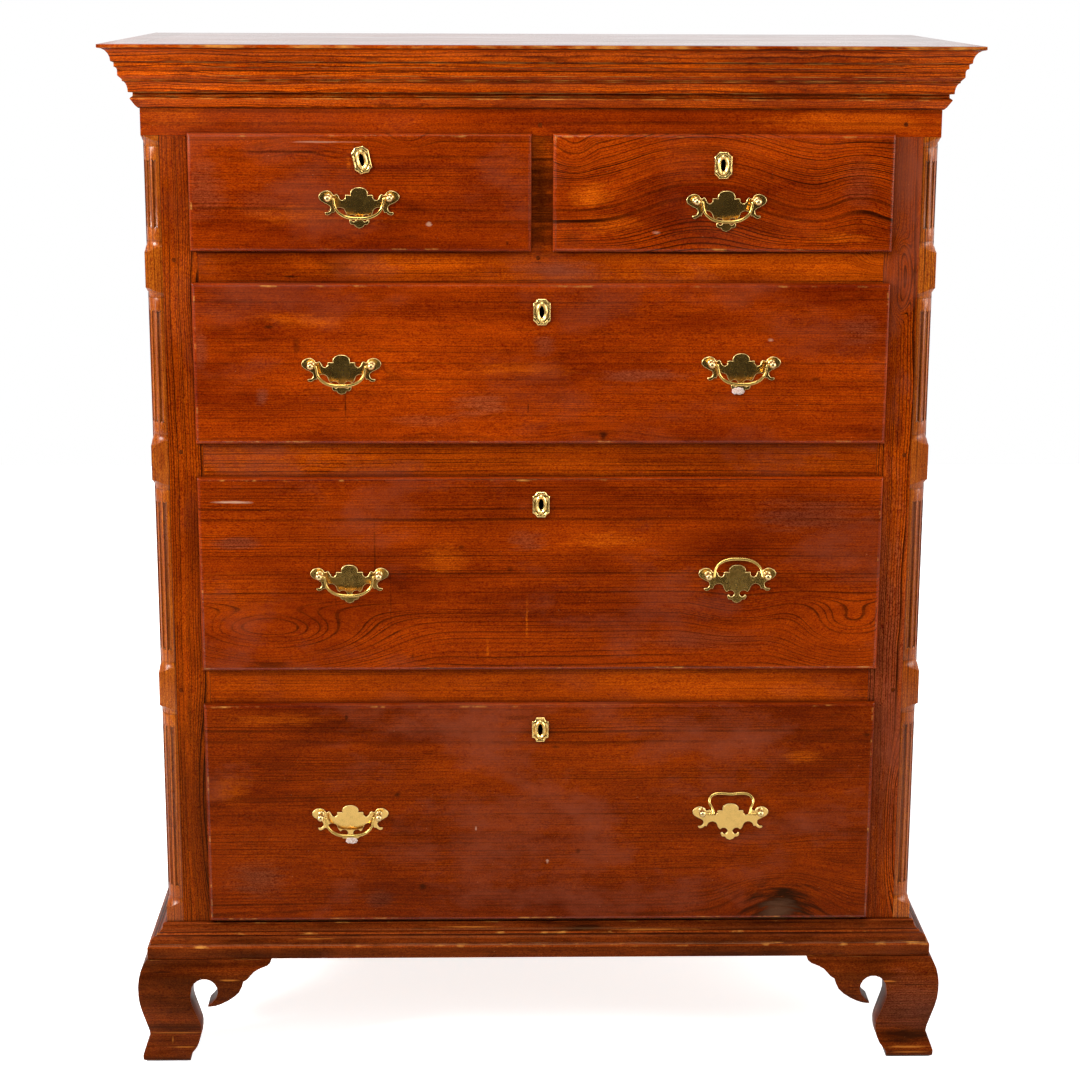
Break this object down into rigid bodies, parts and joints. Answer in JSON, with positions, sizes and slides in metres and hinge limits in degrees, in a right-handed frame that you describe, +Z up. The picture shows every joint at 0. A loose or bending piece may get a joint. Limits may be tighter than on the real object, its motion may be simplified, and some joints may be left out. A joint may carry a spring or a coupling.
{
  "type": "chest of drawers",
  "caption": "Tall stained pine chest with lipped drawers, fluted quarter columns, stepped cornice, moulded base and ogee bracket feet.",
  "frame": {"origin": "on the floor, at the middle of the bounding box's base", "axes": "+X to the right seen from the front, +Y to the back, +Z up; the drawers open along -Y"},
  "size_m": [1.0884, 0.5462, 1.3443],
  "materials": {
    "stained_pine": "worn orange-brown stain with a satin sheen",
    "drawer_pine": "worn red-brown stain with a satin sheen",
    "plain_pine": "bare, aged and planed",
    "brass": "polished, lightly aged",
    "lock_iron": "dark and dull"
  },
  "bodies": {
    "case": {"left_side": "stained_pine", "right_side": "stained_pine", "left_stile": "stained_pine", "right_stile": "stained_pine", "left_corner_column": "stained_pine", "right_corner_column": "stained_pine", "frieze_board": "stained_pine", "rail_1": "stained_pine", "rail_2": "stained_pine", "rail_3": "stained_pine", "bottom_board": "plain_pine", "top_board": "stained_pine", "cornice": "stained_pine", "back_boards": "plain_pine", "base_moulding": "stained_pine", "front_left_foot": "stained_pine", "front_right_foot": "stained_pine", "rear_left_foot": "stained_pine", "rear_right_foot": "stained_pine"},
    "drawer_1": {"drawer_1_front": "drawer_pine", "drawer_1_box": "plain_pine", "drawer_1_bottom": "plain_pine", "drawer_1_lock": "lock_iron", "drawer_1_escutcheon": "brass", "drawer_1_pull_plate": "brass"},
    "drawer_1_bail_body": {"drawer_1_bail": "brass"},
    "drawer_2": {"drawer_2_front": "drawer_pine", "drawer_2_box": "plain_pine", "drawer_2_bottom": "plain_pine", "drawer_2_lock": "lock_iron", "drawer_2_escutcheon": "brass", "drawer_2_pull_plate": "brass"},
    "drawer_2_bail_body": {"drawer_2_bail": "brass"},
    "drawer_3": {"drawer_3_front": "drawer_pine", "drawer_3_box": "plain_pine", "drawer_3_bottom": "plain_pine", "drawer_3_lock": "lock_iron", "drawer_3_escutcheon": "brass", "drawer_3_left_pull_plate": "brass", "drawer_3_right_pull_plate": "brass"},
    "drawer_3_left_bail_body": {"drawer_3_left_bail": "brass"},
    "drawer_3_right_bail_body": {"drawer_3_right_bail": "brass"},
    "drawer_4": {"drawer_4_front": "drawer_pine", "drawer_4_box": "plain_pine", "drawer_4_bottom": "plain_pine", "drawer_4_lock": "lock_iron", "drawer_4_escutcheon": "brass", "drawer_4_left_pull_plate": "brass", "drawer_4_right_pull_plate": "brass"},
    "drawer_4_left_bail_body": {"drawer_4_left_bail": "brass"},
    "drawer_4_right_bail_body": {"drawer_4_right_bail": "brass"},
    "drawer_5": {"drawer_5_front": "drawer_pine", "drawer_5_box": "plain_pine", "drawer_5_bottom": "plain_pine", "drawer_5_lock": "lock_iron", "drawer_5_escutcheon": "brass", "drawer_5_left_pull_plate": "brass", "drawer_5_right_pull_plate": "brass"},
    "drawer_5_left_bail_body": {"drawer_5_left_bail": "brass"},
    "drawer_5_right_bail_body": {"drawer_5_right_bail": "brass"}
  },
  "joints": [
    {"name": "drawer_1_slide", "type": "slide", "parent": "case", "child": "drawer_1", "axis": [0, -1, 0], "range_m": [0, 0.38]},
    {"name": "drawer_1_bail_hinge", "type": "hinge", "parent": "drawer_1", "child": "drawer_1_bail_body", "pos_m": [-0.229, -0.2558, 1.1568], "axis": [-1, 0, 0], "range_deg": [-29.7, 214.9]},
    {"name": "drawer_2_slide", "type": "slide", "parent": "case", "child": "drawer_2", "axis": [0, -1, 0], "range_m": [0, 0.38]},
    {"name": "drawer_2_bail_hinge", "type": "hinge", "parent": "drawer_2", "child": "drawer_2_bail_body", "pos_m": [0.231, -0.2558, 1.1532], "axis": [-1, 0, 0], "range_deg": [-29.7, 214.9]},
    {"name": "drawer_3_slide", "type": "slide", "parent": "case", "child": "drawer_3", "axis": [0, -1, 0], "range_m": [0, 0.38]},
    {"name": "drawer_3_left_bail_hinge", "type": "hinge", "parent": "drawer_3", "child": "drawer_3_left_bail_body", "pos_m": [-0.2543, -0.2558, 0.9458], "axis": [-1, 0, 0], "range_deg": [-29.7, 214.9]},
    {"name": "drawer_3_right_bail_hinge", "type": "hinge", "parent": "drawer_3", "child": "drawer_3_right_bail_body", "pos_m": [0.254, -0.2558, 0.9478], "axis": [-1, 0, 0], "range_deg": [-29.7, 214.9]},
    {"name": "drawer_4_slide", "type": "slide", "parent": "case", "child": "drawer_4", "axis": [0, -1, 0], "range_m": [0, 0.38]},
    {"name": "drawer_4_left_bail_hinge", "type": "hinge", "parent": "drawer_4", "child": "drawer_4_left_bail_body", "pos_m": [-0.248, -0.2558, 0.6716], "axis": [-1, 0, 0], "range_deg": [-29.7, 214.9]},
    {"name": "drawer_4_right_bail_hinge", "type": "hinge", "parent": "drawer_4", "child": "drawer_4_right_bail_body", "pos_m": [0.2553, -0.2558, 0.6708], "axis": [-1, 0, 0], "range_deg": [-244.7, 0]},
    {"name": "drawer_5_slide", "type": "slide", "parent": "case", "child": "drawer_5", "axis": [0, -1, 0], "range_m": [0, 0.38]},
    {"name": "drawer_5_left_bail_hinge", "type": "hinge", "parent": "drawer_5", "child": "drawer_5_left_bail_body", "pos_m": [-0.2515, -0.2558, 0.3435], "axis": [-1, 0, 0], "range_deg": [-29.7, 214.9]},
    {"name": "drawer_5_right_bail_hinge", "type": "hinge", "parent": "drawer_5", "child": "drawer_5_right_bail_body", "pos_m": [0.2535, -0.2558, 0.3476], "axis": [-1, 0, 0], "range_deg": [-237.7, 0]}
  ]
}
